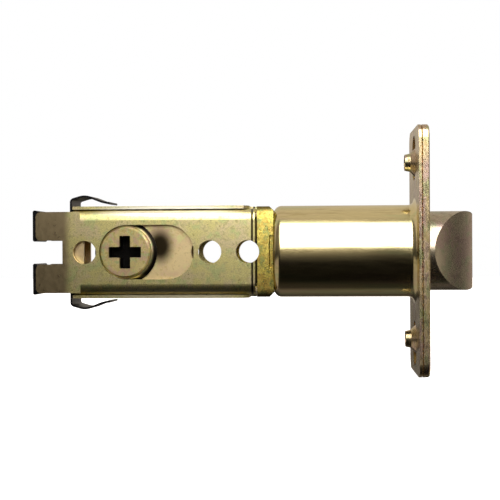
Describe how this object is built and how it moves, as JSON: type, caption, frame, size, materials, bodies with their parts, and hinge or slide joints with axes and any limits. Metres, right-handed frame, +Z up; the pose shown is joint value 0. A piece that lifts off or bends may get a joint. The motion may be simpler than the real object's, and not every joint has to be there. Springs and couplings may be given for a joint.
{
  "type": "tubular door latch",
  "caption": "Tubular spring latch with a bevelled bolt, a face plate, a round barrel and a flat case with a turning hub whose backset can be set.",
  "frame": {"origin": "centre of the face plate's front face", "axes": "+X out of the door's edge along the bolt, -Y the side that the bolt's bevel faces, +Z up"},
  "size_m": [0.1033, 0.0254, 0.0572],
  "materials": {
    "yellow_zinc": "yellow chromate zinc plate",
    "bolt_zinc": "yellow chromate zinc plate on a casting",
    "hub_zinc": "yellow chromate zinc plate",
    "spring_steel": "blue-black tempered spring steel",
    "bright_steel": "bright steel wire"
  },
  "bodies": {
    "case": {"face_plate": "yellow_zinc", "back_plate": "yellow_zinc", "barrel": "yellow_zinc", "front_frame": "yellow_zinc", "case_cover": "yellow_zinc", "case_base": "yellow_zinc", "clip_upper": "spring_steel", "clip_lower": "spring_steel", "bolt_spring": "bright_steel"},
    "bolt": {"bolt_head": "bolt_zinc", "drawbar": "yellow_zinc", "drawbar_rivet": "bright_steel", "spring_washer": "bright_steel"},
    "carrier": {"hub_carrier": "yellow_zinc"},
    "hub": {"cam_core": "hub_zinc", "hub_bush_near": "hub_zinc", "hub_bush_far": "hub_zinc"}
  },
  "joints": [
    {"name": "bolt_slide", "type": "slide", "parent": "case", "child": "bolt", "axis": [-1, 0, 0], "range_m": [0, 0.0122], "stiffness_N_per_m": 300, "springref_m": -0.01, "deforming": ["bolt_spring"]},
    {"name": "backset_slide", "type": "slide", "parent": "case", "child": "carrier", "axis": [1, 0, 0], "range_m": [0, 0.00953]},
    {"name": "hub_turn", "type": "hinge", "parent": "carrier", "child": "hub", "pos_m": [-0.06985, 0, 0], "axis": [0, -1, 0], "range_deg": [0, 97]}
  ],
  "couplings": [
    {"joint": "hub_turn", "follows": "bolt_slide", "rad_per_m": 138.76}
  ]
}
